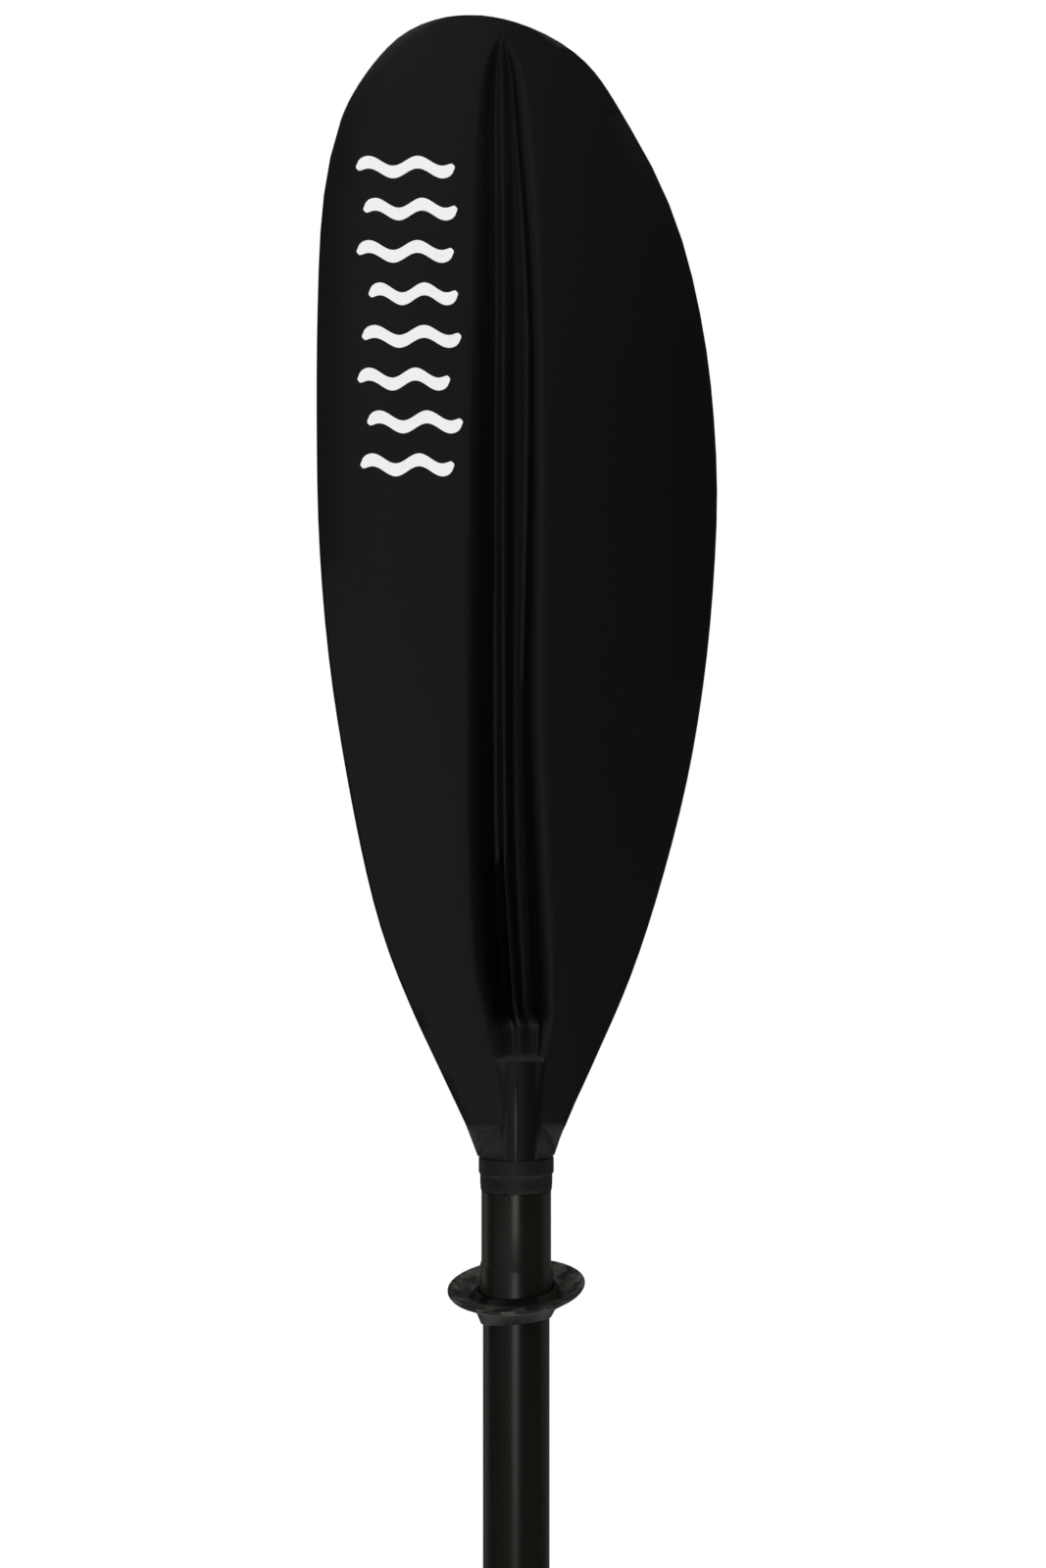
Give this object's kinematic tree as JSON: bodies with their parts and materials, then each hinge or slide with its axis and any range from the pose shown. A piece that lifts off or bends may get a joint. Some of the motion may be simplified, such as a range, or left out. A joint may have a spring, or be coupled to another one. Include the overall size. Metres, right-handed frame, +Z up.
{
  "type": "single blade paddle",
  "caption": "Bladed half of a take-apart paddle: asymmetric moulded blade with a hollow spine on a tube shaft, sliding drip ring, plug-in end with snap button.",
  "frame": {"origin": "middle of the flat outer face of the end cap on the plug-in insert, on the shaft axis", "axes": "+Z up the shaft to the blade tip; -Y the way the back face of the blade looks; +X to the right seen from the back face"},
  "size_m": [0.1766, 0.0635, 1.19],
  "materials": {
    "blade_plastic": "satin moulded polypropylene, near black",
    "band_rubber": "dull stretched rubber band",
    "sleeve_plastic": "shrunk-on sleeve, half gloss",
    "black_metal": "black blind rivet",
    "plug_plastic": "moulded nylon",
    "shaft_aluminium": "black anodised tube, satin",
    "ring_rubber": "soft moulded rubber, dull",
    "plug_foam": "closed-cell foam",
    "bright_aluminium": "drawn, lightly brushed",
    "stainless": "polished stainless"
  },
  "bodies": {
    "paddle": {"blade": "blade_plastic", "neck_band": "band_rubber", "throat_sleeve": "sleeve_plastic", "throat_rivet": "black_metal", "throat_plug": "plug_plastic", "shaft_tube": "shaft_aluminium", "float_plug": "plug_foam", "ferrule_insert": "bright_aluminium", "ferrule_rivet_left": "bright_aluminium", "ferrule_rivet_right": "bright_aluminium", "seam_ring": "plug_plastic", "insert_end_cap": "plug_plastic", "snap_spring": "stainless"},
    "drip_ring": {"drip_ring": "ring_rubber"},
    "snap_button": {"snap_button": "stainless"}
  },
  "joints": [
    {"name": "drip_ring_slide", "type": "slide", "parent": "paddle", "child": "drip_ring", "axis": [0, 0, 1], "range_m": [-0.48, 0]},
    {"name": "snap_button_press", "type": "slide", "parent": "paddle", "child": "snap_button", "axis": [0, 1, 0], "range_m": [0, 0.004], "stiffness_N_per_m": 1200, "springref_m": -0.001, "deforming": ["snap_spring"]}
  ]
}
